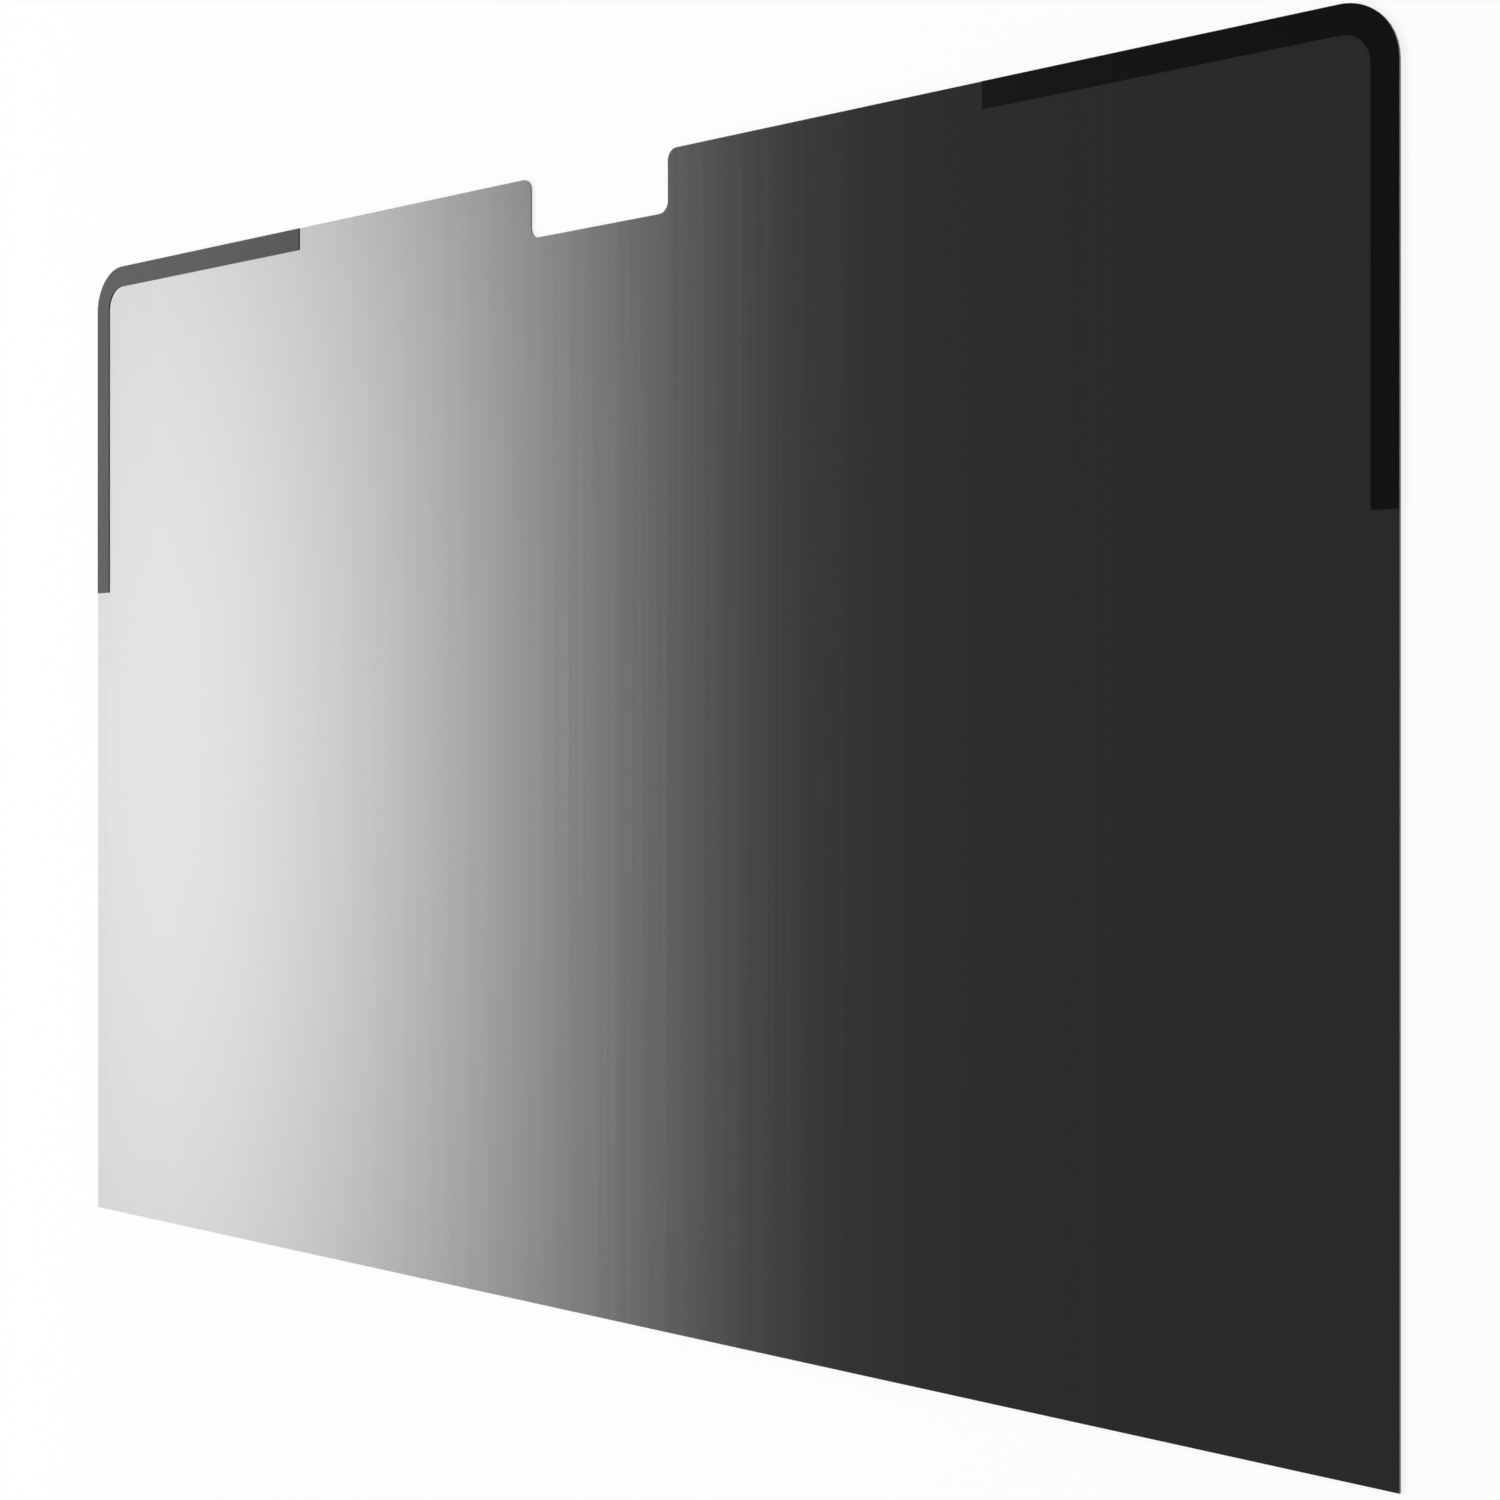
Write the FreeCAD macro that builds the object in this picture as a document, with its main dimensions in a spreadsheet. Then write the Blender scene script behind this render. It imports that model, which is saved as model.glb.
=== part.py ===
import FreeCAD, Part
import os
import Sketcher

# A privacy filter for a notebook screen: one die-cut film with a camera notch in its top edge, and an
# L-shaped strip on each top corner that holds it to the screen's bezel.
# The film lies flat on its plain face. X runs along its width, Y up its height towards the notch, and
# Z out of the face that carries the strips. The origin is the middle of the face that it rests on.

# The driving sizes in millimetres, each with what it measures.
SIZES = [
    ("sheet_width", 308.0, "film from its left edge to its right edge"),
    ("sheet_height", 203.5, "film from its bottom edge to its top edge"),
    ("sheet_thickness", 0.4, "film with its hard coats"),
    ("corner_radius", 9.0, "top corners of the film, and the strips round them"),
    ("notch_width", 34.3, "camera notch from side to side"),
    ("notch_depth", 10.9, "camera notch down from the top edge"),
    ("notch_mouth_radius", 2.0, "outside corners where the notch meets the top edge"),
    ("notch_floor_radius", 2.0, "inside corners at the foot of the notch"),
    ("strip_top_leg", 70.0, "strip along the top edge, from the film's side to its cut end"),
    ("strip_side_leg", 70.0, "strip down the side, from the film's top to its cut end"),
    ("strip_width", 4.3, "across either leg of a strip"),
    ("strip_thickness", 0.15, "strip above the film"),
    ("strip_edge_radius", 0.05, "softened upper edge of a strip"),
]

LEFT = -1
RIGHT = 1

# Sketch references: the origin point, and a line's two ends.
ORIGIN = (-1, 1)
START = 1
END = 2

# Lengths closer than this are the same length, in millimetres.
SAME_LENGTH = 1e-6
# Volumes closer than this share of each other are the same volume.
SAME_SHARE = 1e-6

document = FreeCAD.newDocument("privacy_filter")


def add_sizes():
    """A sheet with a row for each driving size: its name, its value and what it measures."""
    sheet = document.addObject("Spreadsheet::Sheet", "Sizes")
    for row, (name, value, meaning) in enumerate(SIZES, start=1):
        sheet.set(f"A{row}", name)
        sheet.set(f"B{row}", str(value))
        sheet.set(f"C{row}", meaning)
        sheet.setAlias(f"B{row}", name)
    document.recompute()
    return sheet


sizes = add_sizes()


def size(name):
    """A driving size's value, for where a line starts or an edge is looked for."""
    return float(sizes.get(name))


def add_body(label):
    """An empty body for one piece of the object, which its label names."""
    body = document.addObject("PartDesign::Body", label)
    body.Label = label
    return body


def add_sketch(body, name, corners):
    """A closed outline on the body's level plane, with each side kept level or upright."""
    plane = next(each for each in body.Origin.OriginFeatures if each.Role == "XY_Plane")
    sketch = body.newObject("Sketcher::SketchObject", name)
    sketch.AttachmentSupport = [(plane, "")]
    sketch.MapMode = "FlatFace"
    points = [FreeCAD.Vector(x, y, 0) for x, y in corners]
    for start, end in zip(points, points[1:] + points[:1]):
        side = sketch.addGeometry(Part.LineSegment(start, end), False)
        level = abs(start.y - end.y) < SAME_LENGTH
        sketch.addConstraint(Sketcher.Constraint("Horizontal" if level else "Vertical", side))
    for side in range(len(points)):
        following = (side + 1) % len(points)
        sketch.addConstraint(Sketcher.Constraint("Coincident", side, END, following, START))
    return sketch


def add_dimension(sketch, name, kind, between, formula):
    """A named dimension of a sketch that follows a formula of the driving sizes."""
    value = float(sketch.evalExpression(formula))
    number = sketch.addConstraint(Sketcher.Constraint(kind, *between, value))
    sketch.renameConstraint(number, name)
    sketch.setExpression(f"Constraints.{name}", formula)


def add_pad(body, name, sketch, length):
    """The sketch raised to a thickness."""
    pad = body.newObject("PartDesign::Pad", name)
    pad.Profile = sketch
    pad.setExpression("Length", length)
    document.recompute()
    return pad


def add_fillet(body, name, base, faces_or_edges, radius):
    """A round of one radius on the named edges, or on every edge of the named faces."""
    fillet = body.newObject("PartDesign::Fillet", name)
    fillet.Base = (base, faces_or_edges)
    fillet.setExpression("Radius", radius)
    document.recompute()
    return fillet


def upright_edges(feature, spots):
    """The names of the edges that stand upright on the given spots of the XY plane."""
    names = []
    for number, edge in enumerate(feature.Shape.Edges, start=1):
        ends = [vertex.Point for vertex in edge.Vertexes]
        for x, y in spots:
            if all(abs(end.x - x) < SAME_LENGTH and abs(end.y - y) < SAME_LENGTH for end in ends):
                names.append(f"Edge{number}")
    if len(names) != len(spots):
        raise RuntimeError(f"{feature.Name}: {len(names)} upright edges on {len(spots)} spots")
    return names


def top_face(feature):
    """The name of the highest face."""
    heights = [face.CenterOfMass.z for face in feature.Shape.Faces]
    return f"Face{heights.index(max(heights)) + 1}"


def make_filter_sheet():
    """The die-cut film: a plain rectangle, then the notch, then the rounds of its top edge."""
    body = add_body("filter_sheet")
    half_width = size("sheet_width") / 2
    top = size("sheet_height") / 2

    blank = add_sketch(
        body,
        "film_blank",
        [(-half_width, -top), (half_width, -top), (half_width, top), (-half_width, top)],
    )
    blank.addConstraint(Sketcher.Constraint("Symmetric", 0, START, 2, START, *ORIGIN))
    add_dimension(blank, "width", "Distance", (0,), "Sizes.sheet_width")
    add_dimension(blank, "height", "Distance", (1,), "Sizes.sheet_height")
    film = add_pad(body, "film", blank, "Sizes.sheet_thickness")

    half_notch = size("notch_width") / 2
    floor = top - size("notch_depth")
    notch_outline = add_sketch(
        body,
        "notch_outline",
        [(-half_notch, floor), (half_notch, floor), (half_notch, top), (-half_notch, top)],
    )
    add_dimension(notch_outline, "left_side", "DistanceX", (0, START, *ORIGIN), "Sizes.notch_width / 2")
    add_dimension(notch_outline, "width", "Distance", (0,), "Sizes.notch_width")
    add_dimension(notch_outline, "depth", "Distance", (1,), "Sizes.notch_depth")
    add_dimension(notch_outline, "top_edge", "DistanceY", (*ORIGIN, 2, START), "Sizes.sheet_height / 2")
    notch = body.newObject("PartDesign::Pocket", "camera_notch")
    notch.Profile = notch_outline
    notch.Type = "ThroughAll"
    notch.Reversed = True
    document.recompute()
    cut = size("notch_width") * size("notch_depth") * size("sheet_thickness")
    if abs(film.Shape.Volume - notch.Shape.Volume - cut) > SAME_SHARE * film.Shape.Volume:
        raise RuntimeError("the camera notch is not cut through the film")

    corners = upright_edges(notch, [(-half_width, top), (half_width, top)])
    cornered = add_fillet(body, "corner_rounds", notch, corners, "Sizes.corner_radius")
    mouth = upright_edges(cornered, [(-half_notch, top), (half_notch, top)])
    mouthed = add_fillet(body, "notch_mouth_rounds", cornered, mouth, "Sizes.notch_mouth_radius")
    foot = upright_edges(mouthed, [(-half_notch, floor), (half_notch, floor)])
    add_fillet(body, "notch_floor_rounds", mouthed, foot, "Sizes.notch_floor_radius")
    return body


def make_corner_strip(label, side):
    """A flat L on the film's top corner of that side, flush with the film and round its corner."""
    body = add_body(label)
    body.setExpression("Placement.Base.z", "Sizes.sheet_thickness")
    width = size("strip_width")
    edge_x = side * size("sheet_width") / 2
    inner_x = edge_x - side * width
    end_x = edge_x - side * size("strip_top_leg")
    edge_y = size("sheet_height") / 2
    inner_y = edge_y - width
    end_y = edge_y - size("strip_side_leg")

    outline = add_sketch(
        body,
        f"{label}_outline",
        [
            (edge_x, edge_y),
            (end_x, edge_y),
            (end_x, inner_y),
            (inner_x, inner_y),
            (inner_x, end_y),
            (edge_x, end_y),
        ],
    )
    corner = (0, START)
    across = (*ORIGIN, *corner) if side == RIGHT else (*corner, *ORIGIN)
    add_dimension(outline, "film_side", "DistanceX", across, "Sizes.sheet_width / 2")
    add_dimension(outline, "film_top", "DistanceY", (*ORIGIN, *corner), "Sizes.sheet_height / 2")
    add_dimension(outline, "top_leg", "Distance", (0,), "Sizes.strip_top_leg")
    add_dimension(outline, "top_leg_width", "Distance", (1,), "Sizes.strip_width")
    add_dimension(outline, "side_leg_width", "Distance", (4,), "Sizes.strip_width")
    add_dimension(outline, "side_leg", "Distance", (5,), "Sizes.strip_side_leg")
    strip = add_pad(body, f"{label}_pad", outline, "Sizes.strip_thickness")

    outer = upright_edges(strip, [(edge_x, edge_y)])
    rounded = add_fillet(body, f"{label}_outer_round", strip, outer, "Sizes.corner_radius")
    # The inner round shares the outer round's centre, so the strip is as wide round the corner.
    concentric = "max(Sizes.corner_radius - Sizes.strip_width; Sizes.strip_edge_radius)"
    inner = upright_edges(rounded, [(inner_x, inner_y)])
    bent = add_fillet(body, f"{label}_inner_round", rounded, inner, concentric)
    add_fillet(body, f"{label}_soft_edge", bent, [top_face(bent)], "Sizes.strip_edge_radius")
    return body


def check(bodies):
    """Stops if a feature failed, or if a piece is not one sound solid."""
    document.recompute()
    failed = [each.Name for each in document.Objects if {"Invalid", "Error"} & set(each.State)]
    if failed:
        raise RuntimeError(f"these features failed: {failed}")
    for body in bodies:
        shape = body.Shape
        if shape.isNull() or not shape.isValid() or len(shape.Solids) != 1:
            raise RuntimeError(f"{body.Label} is not one sound solid")


pieces = [
    make_filter_sheet(),
    make_corner_strip("left_corner_strip", LEFT),
    make_corner_strip("right_corner_strip", RIGHT),
]
check(pieces)
os.makedirs("parts", exist_ok=True)
for piece in pieces:
    piece.Shape.exportStep(f"parts/{piece.Label}.step")
    box = piece.Shape.optimalBoundingBox()
    print(
        f"{piece.Label}: {box.XLength:.2f} x {box.YLength:.2f} x {box.ZLength:.2f} mm, "
        f"{piece.Shape.Volume:.1f} mm3, lowest at z {box.ZMin:.2f}"
    )
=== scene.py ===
# %% [markdown]
# # A privacy filter for a notebook screen
# The object is one thin dark film with a camera notch in its top edge, and a black L-shaped strip on
# each top corner. It lies flat on a white table with the strips upwards. The camera looks down on it
# from the right, so the far side of the film shines and the near side stays dark.
#
# The solids already have the true outline, with its rounds, notch, strips and thickness, so nothing is
# modelled twice. The lesson is about finish and light: a satin film, a dull strip, and one soft light
# whose mirror image fades across the film. Lengths are in metres unless their names say otherwise, and
# greys are linear.

# %% Load the frame
import math

import bpy
import bmesh
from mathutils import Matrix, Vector


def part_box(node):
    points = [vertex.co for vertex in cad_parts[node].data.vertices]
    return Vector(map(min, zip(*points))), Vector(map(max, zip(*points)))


MM_PER_METRE = 1000

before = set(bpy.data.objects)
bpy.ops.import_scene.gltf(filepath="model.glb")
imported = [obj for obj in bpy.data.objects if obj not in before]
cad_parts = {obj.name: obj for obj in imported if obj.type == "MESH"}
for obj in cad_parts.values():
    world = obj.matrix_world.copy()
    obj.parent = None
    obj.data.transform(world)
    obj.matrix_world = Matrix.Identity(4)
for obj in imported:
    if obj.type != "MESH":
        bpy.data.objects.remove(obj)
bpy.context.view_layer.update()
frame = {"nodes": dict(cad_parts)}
film_low, film_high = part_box("filter_sheet")
film_size = film_high - film_low


def in_millimetres(size):
    """The three sides of a box, as text."""
    return " x ".join(f"{MM_PER_METRE * side:.2f}" for side in size) + " mm"


print("solids:", ", ".join(frame["nodes"]))
print("film:", in_millimetres(film_size))

# %% [markdown]
# ## Shader maths as plain expressions
# A finish is a small sum: so much streak, so much grain, less of both on the cut edge. Drawn as nodes,
# such a sum is hard to read. So a node's output is wrapped in a small class that knows Python's own
# signs for sums, products, powers and comparisons, and every expression adds its own Math nodes. All
# other nodes come from one method, which sets a node's own settings first and then fills or links its
# sockets. The same two classes serve the materials, the soft light and the room.


# %% Wires
class Wire:
    """One output of a node, for use in sums, products, powers and comparisons."""

    def __init__(self, finish, socket):
        self.finish = finish
        self.socket = socket

    def maths(self, operation, first, second):
        """A Math node on two values, one of which may be a plain number."""
        return self.finish.node("Math", {"operation": operation}, {0: first, 1: second})

    def __add__(self, other):
        return self.maths("ADD", self, other)

    def __radd__(self, other):
        return self.maths("ADD", other, self)

    def __sub__(self, other):
        return self.maths("SUBTRACT", self, other)

    def __rsub__(self, other):
        return self.maths("SUBTRACT", other, self)

    def __mul__(self, other):
        return self.maths("MULTIPLY", self, other)

    def __rmul__(self, other):
        return self.maths("MULTIPLY", other, self)

    def __pow__(self, other):
        return self.maths("POWER", self, other)

    def __lt__(self, other):
        return self.maths("LESS_THAN", self, other)

    def __gt__(self, other):
        return self.maths("GREATER_THAN", self, other)


# %% Finishes
class Finish:
    """A node tree that starts empty and grows one node at a time."""

    def __init__(self, owner):
        owner.use_nodes = True
        self.tree = owner.node_tree
        self.tree.nodes.clear()

    def node(self, kind, settings=None, sockets=None, output=0):
        """Adds a node of that kind and returns the wire from one of its outputs, if it has any."""
        made = self.tree.nodes.new(f"ShaderNode{kind}")
        for name, value in (settings or {}).items():
            setattr(made, name, value)
        for name, value in (sockets or {}).items():
            if isinstance(value, Wire):
                self.tree.links.new(value.socket, made.inputs[name])
            else:
                made.inputs[name].default_value = value
        return Wire(self, made.outputs[output]) if made.outputs else None


# %% [markdown]
# ## Greys, noise and relief
# Both finishes are dark greys that vary a little, so the same helpers serve them: a grey, a blend of
# two colours, a noise with a grain of a given size, a relief, and one that puts a finish on a solid. A
# noise could follow a UV map, but flat pieces have no seams or bends for it to follow. Object
# coordinates are metres on the part itself, so a grain of half a millimetre is written as 0.0005 and
# stays in place when the part moves.

# %% Greys and blends
# The Mix node's colour sockets go by number, because its number and vector sockets have the same names.
MIX_SHARE = 0
MIX_FIRST = 6
MIX_SECOND = 7
MIX_RESULT = 2


def grey(level):
    """An opaque grey of that linear level."""
    return (level, level, level, 1.0)


def blend(finish, share, first, second):
    """The first colour where the share is 0, the second where it is 1."""
    sockets = {MIX_SHARE: share, MIX_FIRST: first, MIX_SECOND: second}
    return finish.node("Mix", {"data_type": "RGBA"}, sockets, MIX_RESULT)


# %% Noise and relief
NOISE_ROUGHNESS = 0.55
# A noise runs from 0 to 1 and swings about this value.
NOISE_MIDDLE = 0.5


def noise(finish, place, size, detail):
    """A noise whose grain has that size along X, Y and Z."""
    scale = [1 / length for length in size]
    stretched = finish.node("Mapping", sockets={"Vector": place, "Scale": scale})
    sockets = {"Vector": stretched, "Scale": 1.0, "Detail": detail, "Roughness": NOISE_ROUGHNESS}
    return finish.node("TexNoise", sockets=sockets, output="Fac")


def relief(finish, height):
    """The tilt that a relief of that height gives to the surface."""
    return finish.node("Bump", sockets={"Strength": 1.0, "Distance": 1.0, "Height": height})


# %% Dressing a solid
def dress(node, material):
    """Gives a solid its finish."""
    for slot in frame["nodes"][node].material_slots:
        slot.material = material
    print(node, "wears", material.name, "with", len(material.node_tree.nodes), "nodes")


# %% [markdown]
# ## The film
# A privacy film is clear plastic filled with thin black louvres that stand upright across it, under a
# hard coat. Seen from the side it is nearly black, and what shows is the shine of the coat. The louvres
# are far too fine to see one by one, but they print through the coat as faint upright streaks.
#
# The bright side could be painted on as a gradient, but then it would stay put when the film turns. So
# the film is one dark colour all over, and the gradient is left to the light. The streaks are a noise
# that is stretched along the film's height. It moves the coat by less than a hundredth of a millimetre,
# so the streaks show only where a reflection fades.
#
# Die-cutting leaves the edge paler and duller, and the edge's grey is raised further as painted shine,
# so that the cut edge matches the tone of the shining film beside it. The face underneath has a matte
# coat. The film is flat, so the height of a point is enough to tell the two faces and the cut edge
# apart.

# %% Faces and cut edge of the film
# What lies nearer to a face than this share of the thickness belongs to that face.
FACE_MARGIN = 0.02


def film_regions(finish, place):
    """Three masks: the lower face, the upper face and the cut edge between them."""
    height = finish.node("SeparateXYZ", sockets={"Vector": place}, output="Z")
    margin = FACE_MARGIN * film_size.z
    lower_face = height < film_low.z + margin
    upper_face = height > film_high.z - margin
    return lower_face, upper_face, 1 - lower_face - upper_face


# %% Film finish
STREAK_SIZE = (0.003, 0.45, 1.0)
STREAK_DETAIL = 2.0
STREAK_HEIGHT = 9e-6
GRAIN_SIZE = (0.0009, 0.0009, 0.0009)
GRAIN_DETAIL = 2.0
GRAIN_HEIGHT = 0.6e-6
FILM_DARK = 0.0168
FILM_LIGHT = 0.0192
# The cut edge's grey is paler than the film because die-cutting dulls it, and it is raised further as
# painted shine to match the shining film beside it.
CUT_EDGE_GREY_WITH_PAINTED_SHINE = 0.2
SATIN_ROUGHNESS = 0.13
SATIN_SWING = 0.03
MATTE_ROUGHNESS = 0.42
EDGE_ROUGHNESS = 0.5


def make_film_finish():
    """A dark film with a satin coat above, a matte face below and a cut edge made paler partly by
    painted shine.
    """
    material = bpy.data.materials.new("louvre_film_finish")
    finish = Finish(material)
    place = finish.node("TexCoord", output="Object")
    lower_face, upper_face, cut_edge = film_regions(finish, place)
    streak = noise(finish, place, STREAK_SIZE, STREAK_DETAIL)
    grain = noise(finish, place, GRAIN_SIZE, GRAIN_DETAIL)
    film_colour = blend(finish, streak, grey(FILM_DARK), grey(FILM_LIGHT))
    satin = SATIN_ROUGHNESS + SATIN_SWING * (streak + grain - 2 * NOISE_MIDDLE)
    surface = finish.node(
        "BsdfPrincipled",
        sockets={
            # The cut edge gets its pale grey here, which is partly painted shine.
            "Base Color": blend(finish, cut_edge, film_colour, grey(CUT_EDGE_GREY_WITH_PAINTED_SHINE)),
            "Roughness": satin * upper_face + MATTE_ROUGHNESS * lower_face + EDGE_ROUGHNESS * cut_edge,
            "Normal": relief(finish, STREAK_HEIGHT * streak + GRAIN_HEIGHT * grain),
        },
    )
    finish.node("OutputMaterial", sockets={"Surface": surface})
    return material


dress("filter_sheet", make_film_finish())

# %% [markdown]
# ## The strips
# Each strip is a flat L of soft black rubber that clings to the screen's bezel. Rubber swallows light,
# so it takes far less of the lamp's image than the film does: it stays darker where the film shines and
# is nearly black where the film is dark. A dark colour alone would look like paint. So the shine is
# turned well down instead of off, and a fine pebble moves the colour, the roughness and the surface
# together.

# %% Strip finish
PEBBLE_SIZE = (0.0005, 0.0005, 0.0005)
PEBBLE_DETAIL = 3.0
PEBBLE_HEIGHT = 1.5e-5
STRIP_DARK = 0.0045
STRIP_LIGHT = 0.0065
STRIP_ROUGHNESS = 0.24
STRIP_SWING = 0.08
STRIP_SHINE = 0.067


def make_strip_finish():
    """Dull black rubber with a fine pebble."""
    material = bpy.data.materials.new("strip_rubber_finish")
    finish = Finish(material)
    place = finish.node("TexCoord", output="Object")
    pebble = noise(finish, place, PEBBLE_SIZE, PEBBLE_DETAIL)
    surface = finish.node(
        "BsdfPrincipled",
        sockets={
            "Base Color": blend(finish, pebble, grey(STRIP_DARK), grey(STRIP_LIGHT)),
            "Roughness": STRIP_ROUGHNESS + STRIP_SWING * (pebble - NOISE_MIDDLE),
            "Specular IOR Level": STRIP_SHINE,
            "Normal": relief(finish, PEBBLE_HEIGHT * pebble),
        },
    )
    finish.node("OutputMaterial", sockets={"Surface": surface})
    return material


strip_finish = make_strip_finish()
for strip in ("left_corner_strip", "right_corner_strip"):
    dress(strip, strip_finish)

# %% [markdown]
# ## The white of the table
# The film lies on a white table that runs out of sight. A white surface under a lamp is never quite
# even, and more light to whiten it would only burn out the film. So the table is mostly a white that
# needs no light, for the eye and for mirror images, with a share of real lit surface near the film that
# keeps the film's thin shadow.


# %% Smooth steps
def smooth_step(finish, value, start, end):
    """0 where the value is at start, 1 where it is at end, with an S-shaped way between them."""
    low, high = sorted((start, end))
    ends = {"To Min": float(start > end), "To Max": float(end > start)}
    sockets = {"Value": value, "From Min": low, "From Max": high, **ends}
    return finish.node("MapRange", {"interpolation_type": "SMOOTHSTEP"}, sockets)


# %% Table finish
WHITE = grey(1.0)
FLOOR_GREY = 0.96
# The lit share is whole within the core's radius and fades to nothing at the reach.
LIT_SHARE = 0.2
LIT_CORE = 0.19
LIT_REACH = 0.36


def is_seen(finish):
    """1 for what the camera sees, straight or in a mirror or through glass."""
    path = [
        finish.node("LightPath", output=output)
        for output in ("Is Camera Ray", "Is Glossy Ray", "Is Transmission Ray")
    ]
    return finish.node("Clamp", sockets={"Value": path[0] + path[1] + path[2]})


def make_table_finish():
    """A white that needs no light, with a lit share near the film."""
    material = bpy.data.materials.new("white_table")
    finish = Finish(material)
    place = finish.node("TexCoord", output="Object")
    reach = finish.node("VectorMath", {"operation": "LENGTH"}, {0: place}, output="Value")
    near = smooth_step(finish, reach, LIT_REACH, LIT_CORE)
    lit = finish.node("BsdfDiffuse", sockets={"Color": grey(FLOOR_GREY)})
    white = finish.node("Emission", sockets={"Color": WHITE, "Strength": 1.0})
    white_share = is_seen(finish) * (1 - LIT_SHARE * near)
    surface = finish.node("MixShader", sockets={0: white_share, 1: lit, 2: white})
    finish.node("OutputMaterial", sockets={"Surface": surface})
    return material


# %% [markdown]
# ## The table top
# A square plane would do for the table, but its corners would show from low down. A round top has none,
# and one bmesh operator makes it. It lies a hair below the film, because two faces in the same place
# would flicker.

# %% Table top
FLOOR_RADIUS = 5.0
FLOOR_SIDES = 96
FLOOR_DROP = 0.0001


def make_table():
    """A round table under the film, which is stage and not part of the object."""
    mesh = bpy.data.meshes.new("table_top")
    shape = bmesh.new()
    bmesh.ops.create_circle(shape, cap_ends=True, radius=FLOOR_RADIUS, segments=FLOOR_SIDES)
    bmesh.ops.translate(shape, verts=shape.verts, vec=(0, 0, film_low.z - FLOOR_DROP))
    shape.to_mesh(mesh)
    shape.free()
    mesh.materials.append(make_table_finish())
    table = bpy.data.objects.new("table_top", mesh)
    bpy.context.collection.objects.link(table)
    print("table reaches", FLOOR_RADIUS, "m, and its lit part", LIT_REACH, "m")


make_table()

# %% [markdown]
# ## The soft light
# One long soft light stands beyond the film's left side, and the camera sees its mirror image in the
# film. At the left the image is at its brightest, and towards the right it fades out past the light's
# upper rim. An even panel would show as a white bar with hard edges. A real softbox is brightest in its
# middle and fades to its rim, so this one does too: its strength rises from the lower rim, falls slowly
# towards the upper rim and fades out to both ends, soonest where it is brightest. So the bright side of
# the film bows a little. The light's height above the table was found by following the camera's lines
# of sight to the film and on from there.

# %% Glow of the soft light
# Heights of the lower rim, the brightest line and the upper rim above the table.
LIGHT_LOW = 0.515
LIGHT_FULL = 0.836
LIGHT_HIGH = 1.77
# How far out a point lies is counted from 0 in the middle to 1 at the ends, squared. From this value on
# the whole glow fades out. The early fade is this power, which is full on the brightest line.
END_START = 0.3
END_FADE = 2.6


def make_glow(lamp):
    """Lets a lamp's strength change over its panel, along X and up Y, which both run from 0 to 1."""
    finish = Finish(lamp)
    panel = finish.node("NewGeometry", output="Parametric")
    from_middle = 2 * finish.node("SeparateXYZ", sockets={"Vector": panel}, output="X") - 1
    upward = finish.node("SeparateXYZ", sockets={"Vector": panel}, output="Y")
    full = (LIGHT_FULL - LIGHT_LOW) / lamp.size_y
    rise = smooth_step(finish, upward, 0.0, full)
    fall = smooth_step(finish, upward, 1.0, full)
    across = rise * fall * fall
    outward = from_middle * from_middle
    ends = smooth_step(finish, outward, 1.0, END_START)
    strength = ends * across * (1 - outward) ** (END_FADE * across)
    glow = finish.node("Emission", sockets={"Color": WHITE, "Strength": strength})
    finish.node("OutputLight", sockets={"Surface": glow})


# %% Hanging a lamp
def panel_power(radiance, area):
    """The watts of a panel of that area that has that radiance where its glow is full."""
    return radiance * math.pi * area


def hang_lamp(lamp, place, target):
    """Puts a lamp at a place, turned to a target."""
    light = bpy.data.objects.new(lamp.name, lamp)
    light.location = place
    light.rotation_euler = (place - target).to_track_quat("Z", "Y").to_euler()
    bpy.context.collection.objects.link(light)
    distance = round((place - target).length, 2)
    print(lamp.name, "of", round(lamp.energy, 1), "W,", distance, "m from what it faces")
    return light


# %% Soft light
LIGHT_DISTANCE = 1.3
LIGHT_LENGTH = 3.0
LIGHT_RADIANCE = 11.65


def make_soft_light():
    """A long softbox that faces a point as high as its own middle, so that it stands upright."""
    lamp = bpy.data.lights.new("softbox", "AREA")
    lamp.shape = "RECTANGLE"
    lamp.size = LIGHT_LENGTH
    lamp.size_y = LIGHT_HIGH - LIGHT_LOW
    lamp.energy = panel_power(LIGHT_RADIANCE, lamp.size * lamp.size_y)
    make_glow(lamp)
    above_film = Vector((0, 0, (LIGHT_LOW + LIGHT_HIGH) / 2))
    hang_lamp(lamp, above_film - Vector((LIGHT_DISTANCE, 0, 0)), above_film)


make_soft_light()

# %% [markdown]
# ## The fill
# A dim round panel hangs above and behind the camera. It is there for the colours: it brings the light
# on the film up to a plain level. Seen from above, it would lie in the film as a round grey patch, and
# a larger or softer panel would only spread that patch. So it is kept out of mirror images.

# %% Fill panel
FILL_PLACE = Vector((0.6, 0.0, 1.65))
FILL_WIDTH = 1.0
FILL_RADIANCE = 2.1
# The origin is the middle of the film's lower face.
FILM_MIDDLE = Vector((0, 0, 0))


def make_fill_panel():
    """A round panel that lights the film and doesn't show in it."""
    lamp = bpy.data.lights.new("fill_panel", "AREA")
    lamp.shape = "DISK"
    lamp.size = FILL_WIDTH
    lamp.energy = panel_power(FILL_RADIANCE, math.pi * (FILL_WIDTH / 2) ** 2)
    panel = hang_lamp(lamp, FILL_PLACE, FILM_MIDDLE)
    panel.visible_glossy = False


make_fill_panel()

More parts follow.
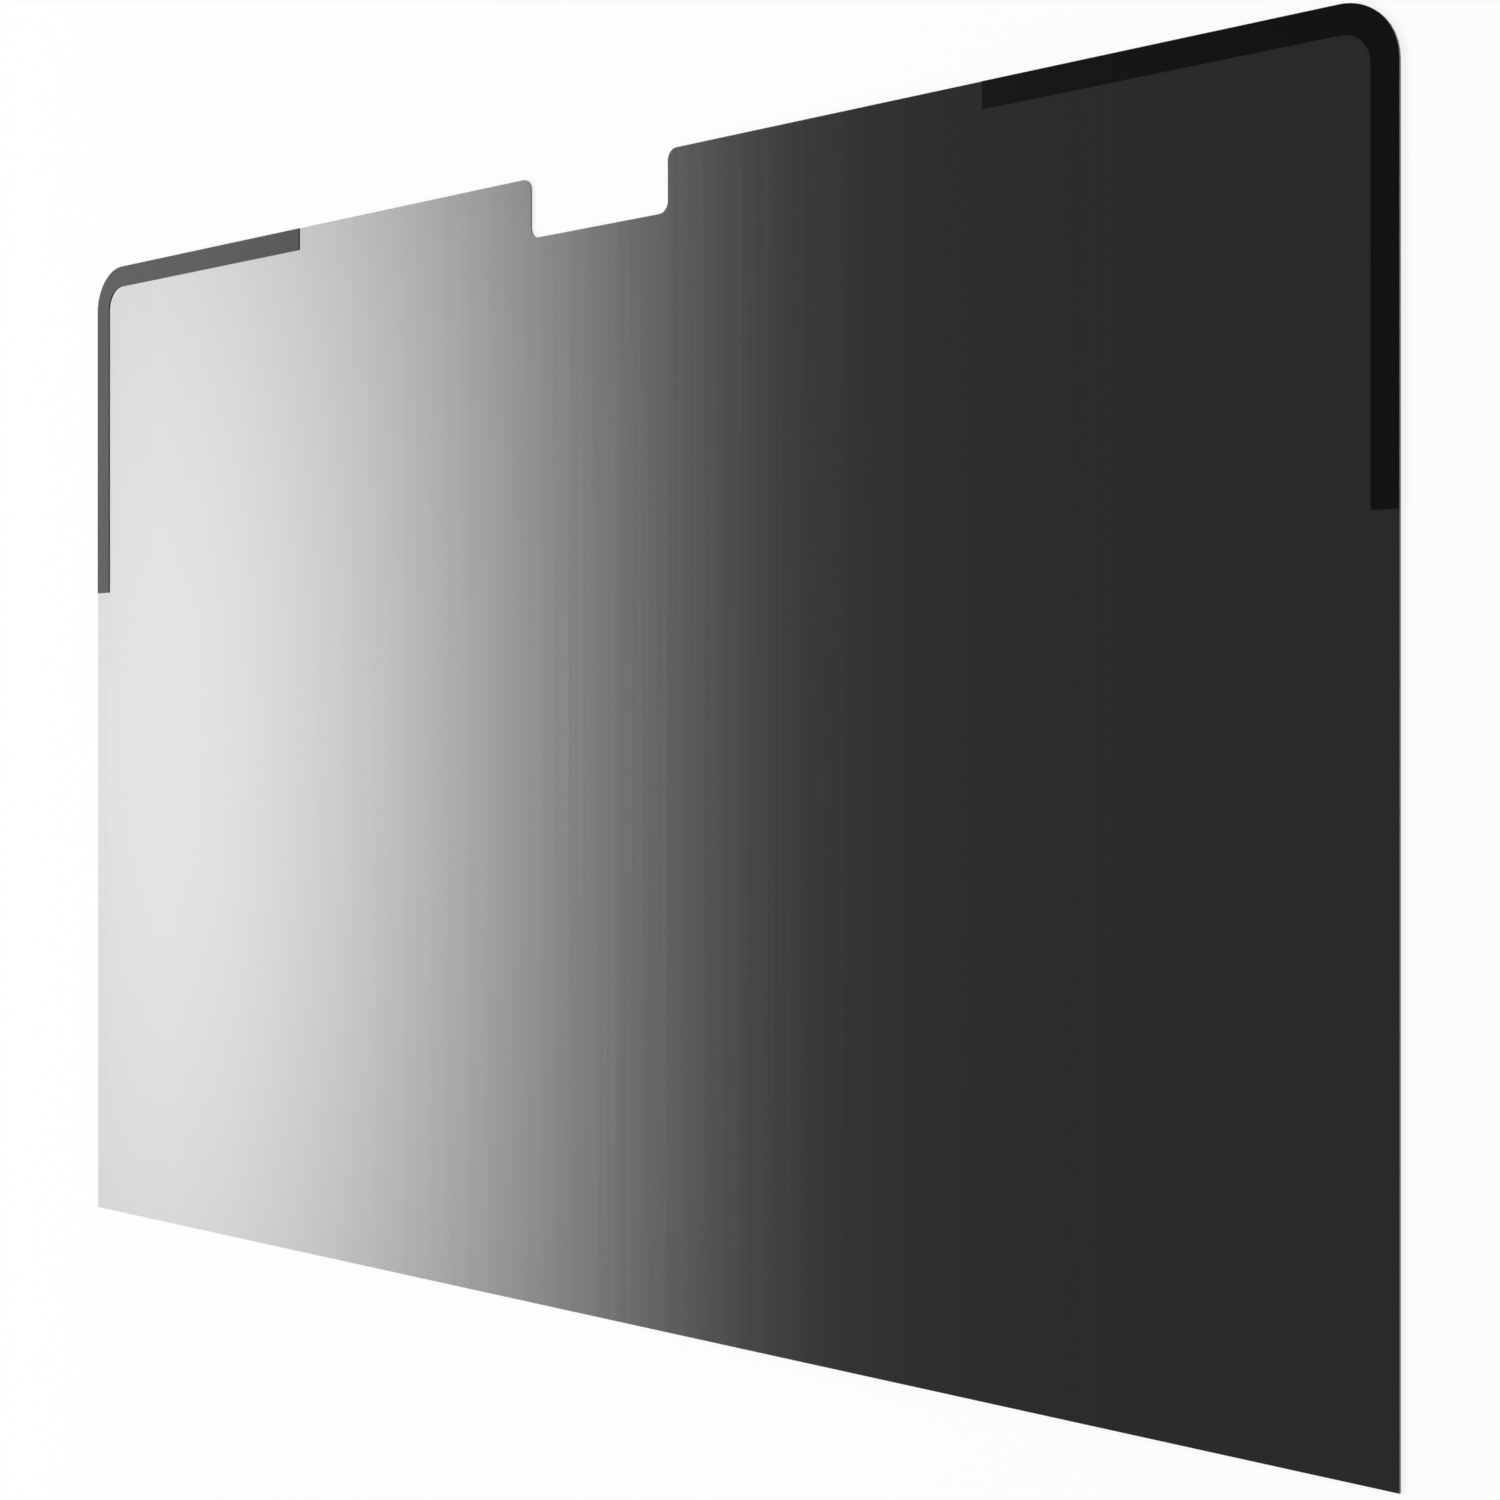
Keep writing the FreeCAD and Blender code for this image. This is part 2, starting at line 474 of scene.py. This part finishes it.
# %% [markdown]
# ## The room
# The rest of the light is a plain room: walls that are white at the foot and darken upwards into a dark
# ceiling. A picture of a studio could light the film too, but a plain gradient needs no file. The
# camera looks down on the film, so on the right the film mirrors the ceiling. A white one would lie
# over the dark film like fog, and even walls would turn it a flat grey from the other sides. With both
# lights and this room together, a colour on the film renders about as it is written.

# %% White room
CEILING = 0.18
# The walls begin to darken, and the ceiling begins, where the sine of the elevation has these values.
CEILING_START = 0.15
CEILING_FULL = 0.75


def make_room():
    """A gradient from white at the horizon to a dark grey overhead."""
    world = bpy.data.worlds.new("white_room")
    bpy.context.scene.world = world
    finish = Finish(world)
    direction = finish.node("TexCoord", output="Generated")
    upward = finish.node("SeparateXYZ", sockets={"Vector": direction}, output="Z")
    strength = 1 - (1 - CEILING) * smooth_step(finish, upward, CEILING_START, CEILING_FULL)
    room = finish.node("Background", sockets={"Color": WHITE, "Strength": strength})
    finish.node("OutputWorld", sockets={"Surface": room})
    start, full = (round(math.degrees(math.asin(sine))) for sine in (CEILING_START, CEILING_FULL))
    print("walls darken from", start, "degrees up, ceiling from", full, "degrees")


make_room()

# %% [markdown]
# ## The camera
# The camera could be placed by eye, but the object itself tells where it stood. The film's long edges
# run together towards a point far to the left, which gives the camera's angle, distance and lens. The
# camera stands level with the film's middle and turns to its left. As the film lies flat, that is a
# turn about the Y axis. A small shift puts the film where it is in the picture.

# %% Camera
CAMERA_PLACE = Vector((0.3134, 0.0012, 0.3112))
CAMERA_TURN_DEGREES = 41.74
LENS_MM = 59.9
SENSOR_MM = 36.0
# A share of the picture's side.
SHIFT_UP = -0.0108
CLIP_START = 0.01

lens = bpy.data.cameras.new("photo_camera")
lens.sensor_width = SENSOR_MM
lens.lens = LENS_MM
lens.shift_y = SHIFT_UP
lens.clip_start = CLIP_START
camera = bpy.data.objects.new("photo_camera", lens)
camera.location = CAMERA_PLACE
camera.rotation_euler = (0, math.radians(CAMERA_TURN_DEGREES), 0)
bpy.context.collection.objects.link(camera)
bpy.context.scene.camera = camera
bpy.context.scene.view_settings.view_transform = "Standard"
corner_distance = (CAMERA_PLACE - film_high).length
print("camera is", round(MM_PER_METRE * corner_distance), "mm from the near top corner")
